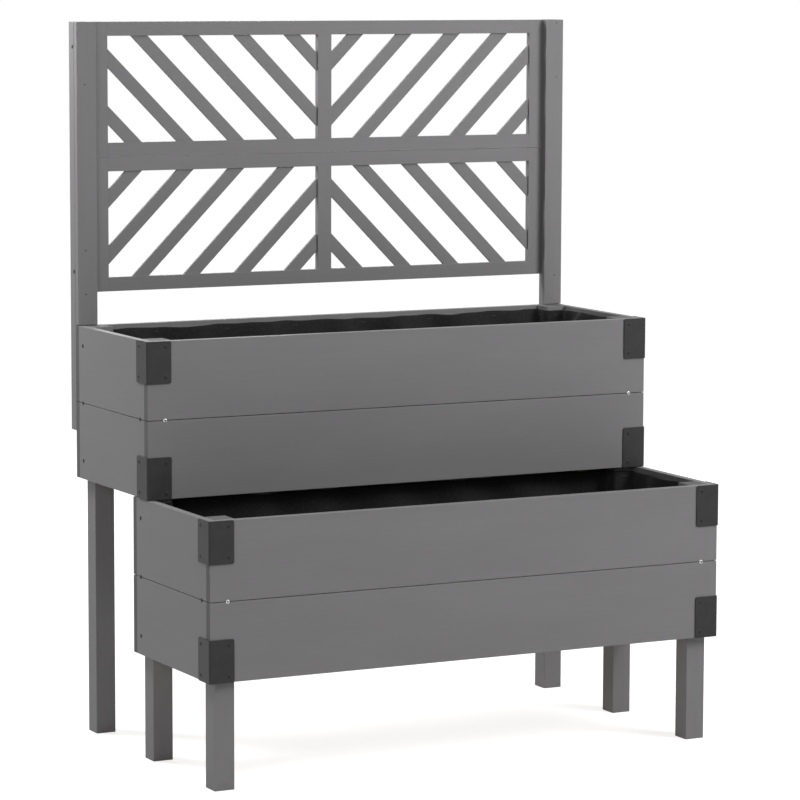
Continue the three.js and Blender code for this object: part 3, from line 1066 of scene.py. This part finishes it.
def bay_slats(panel, side, node, left, right, bottom, top, tilt):
    """The slanting slats of one half of a panel. A tilt of 1 leans them to the right."""
    low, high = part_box(node)
    span = right - left + top - bottom
    middle = Vector(((left + right) / 2, (bottom + top) / 2))
    along = Vector((1, tilt)).normalized()
    across = Vector((-along.y, along.x))
    whole = rectangle(span, LATTICE_SLAT_WIDTH)
    for number in range(LATTICE_SLATS):
        offset = ((number + 0.5) / LATTICE_SLATS - 0.5) * span / 2
        heart = middle + Vector((offset, -tilt * offset))
        outline = [heart + along * u + across * v for u, v in whole]
        outline = clipped(outline, 0, left - LATTICE_HOUSING, 1)
        outline = clipped(outline, 0, right + LATTICE_HOUSING, -1)
        outline = clipped(outline, 1, bottom - LATTICE_HOUSING, 1)
        outline = clipped(outline, 1, top + LATTICE_HOUSING, -1)
        local = [((point - heart).dot(along), (point - heart).dot(across)) for point in outline]
        centre = Vector((heart.x, (low.y + high.y) / 2, heart.y))
        slat = plank(
            f"trellis_{panel}_slat_{side}_{number + 1}",
            local,
            LATTICE_SLAT_THICKNESS,
            centre,
            Vector((along.x, 0, along.y)),
            -AXES["Y"],
            PAINTED_TIMBER,
            LATTICE_ARRIS,
        )
        stand_for(node)


for panel in PANELS:
    node = f"trellis_{panel}_lattice"
    low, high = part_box(node)
    bottom = low.z + RAIL_HEIGHT
    top = high.z - RAIL_HEIGHT
    rail_ends = (low.x - RAIL_REACH, high.x + RAIL_REACH)
    rails = {"bottom": (low.z + FRAME_TRIM, bottom), "top": (top, high.z - FRAME_TRIM)}
    for level, zs in rails.items():
        framed_timber(f"trellis_{panel}_rail_{level}", node, rail_ends, zs, "X")
    half_stile = CENTRE_STILE_WIDTH / 2
    framed_timber(f"trellis_{panel}_centre_stile", node, (-half_stile, half_stile), (bottom, top), "Z")
    for side, sign in SIDES.items():
        stile = f"trellis_{panel}_stile_{side}"
        timber(stile, "Z", "Y", PAINTED_TIMBER, end_trim=FRAME_TRIM, arris=FRAME_ARRIS)
        left, right = (half_stile, high.x) if sign > 0 else (low.x, -half_stile)
        tilt = sign if panel == "upper" else -sign
        bay_slats(panel, side, node, left, right, bottom, top, tilt)


# ================================================================ studio
# A pale floor fades into a white surround. Of the five soft lamps the strongest stands to the right
# in front, and the others to the left, overhead, behind and, a small one, beside the left post.

FLOOR_HALF_WIDTH = 12.0
FLOOR_TONE = 0.80          # for the light that the floor throws back
SHADOW_CATCH = 0.45        # how much of the light on the floor the eye sees there
FLOOR_LIFT = 0.76          # what the eye sees of the floor without that light, near the planter
FADE_START = 1.2           # from here on the floor turns to plain white
FADE_END = 3.0
AMBIENT = 0.06


def shown_directly(finish):
    """1 for what the eye sees, straight or in a reflection, and 0 for the light thrown back."""
    kinds = [
        finish.node("LightPath", None, None, kind)
        for kind in ("Is Camera Ray", "Is Glossy Ray", "Is Transmission Ray")
    ]
    return (kinds[0] + kinds[1] + kinds[2]).smoothed(0.0, 1.0)


def pale_floor():
    finish = Finish("pale_floor")
    own = finish.node("TexCoord", None, None, "Object")
    distance = finish.node("VectorMath", {"operation": "LENGTH"}, {0: own}, "Value")
    lift = FLOOR_LIFT + distance.smoothed(FADE_START, FADE_END) * (1 - FLOOR_LIFT)
    thrown_back = finish.node("BsdfDiffuse", None, {"Color": grey(FLOOR_TONE)})
    catch = finish.node("BsdfDiffuse", None, {"Color": grey(SHADOW_CATCH)})
    glow = finish.node("Emission", None, {"Color": grey(1.0), "Strength": lift})
    shown = finish.node("AddShader", None, {0: catch, 1: glow})
    mixed = finish.node("MixShader", None, {0: shown_directly(finish), 1: thrown_back, 2: shown})
    finish.node("OutputMaterial", None, {"Surface": mixed})
    return finish.material


floor_shape = bmesh.new()
bmesh.ops.create_grid(floor_shape, x_segments=1, y_segments=1, size=FLOOR_HALF_WIDTH)
floor = bpy.data.objects.new("floor", finished_mesh("floor", floor_shape, pale_floor()))
bpy.context.scene.collection.objects.link(floor)


class Surround(Finish):
    """The world's own nodes."""

    def __init__(self):
        world = bpy.data.worlds.new("surround")
        world.use_nodes = True
        world.node_tree.nodes.clear()
        bpy.context.scene.world = world
        self.tree = world.node_tree


surround = Surround()
strength = AMBIENT + shown_directly(surround) * (1 - AMBIENT)
background = surround.node("Background", None, {"Color": grey(1.0), "Strength": strength})
surround.node("OutputWorld", None, {"Surface": background})


def soft_lamp(name, place, target, width, height, power):
    """A rectangular lamp that is turned to its target. Its power is in watts."""
    lamp = bpy.data.lights.new(name, "AREA")
    lamp.shape = "RECTANGLE"
    lamp.size = width
    lamp.size_y = height
    lamp.energy = power
    holder = bpy.data.objects.new(name, lamp)
    bpy.context.scene.collection.objects.link(holder)
    aim = (Vector(target) - Vector(place)).to_track_quat("-Z", "Y").to_matrix().to_4x4()
    holder.matrix_world = Matrix.Translation(Vector(place)) @ aim


soft_lamp("lamp_right", (1.5, -1.7, 1.9), (0.2, 0.1, 0.8), 1.0, 1.0, 56)
soft_lamp("lamp_left", (-2.6, -2.6, 1.5), (0, 0, 0.5), 1.4, 1.4, 32)
soft_lamp("lamp_top", (0.2, -0.8, 3.2), (0, 0, 0.5), 2.0, 1.6, 28)
soft_lamp("lamp_behind", (0.3, 2.8, 1.8), (0, 0, 0.6), 1.8, 1.6, 44)
soft_lamp("lamp_post", (-0.95, 0.75, 1.55), (-0.43, 0.25, 0.95), 0.3, 0.5, 20)

bpy.context.scene.view_settings.view_transform = "Standard"
